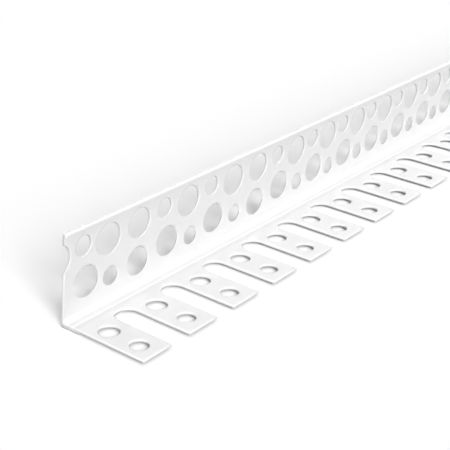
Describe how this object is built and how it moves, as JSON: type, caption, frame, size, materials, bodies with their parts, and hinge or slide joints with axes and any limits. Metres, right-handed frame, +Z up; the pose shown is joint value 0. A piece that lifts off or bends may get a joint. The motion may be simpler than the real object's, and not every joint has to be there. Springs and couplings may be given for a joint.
{
  "type": "flexible pvc arch corner bead",
  "caption": "Long white PVC angle for plastering curved corners: a leg punched with round holes and a leg slotted into holed tabs, so that it bends round an arch.",
  "frame": {"origin": "middle of the bead's length and width, on the level of the floor it lies on", "axes": "+X along the bead, away from the cut end in the picture; +Y from the tabs to the nose; +Z up along the punched leg"},
  "size_m": [2.5, 0.026, 0.0249],
  "materials": {
    "white_pvc": "satin white extruded PVC"
  },
  "bodies": {
    "root": {"arch_corner_bead": "white_pvc"}
  },
  "joints": []
}
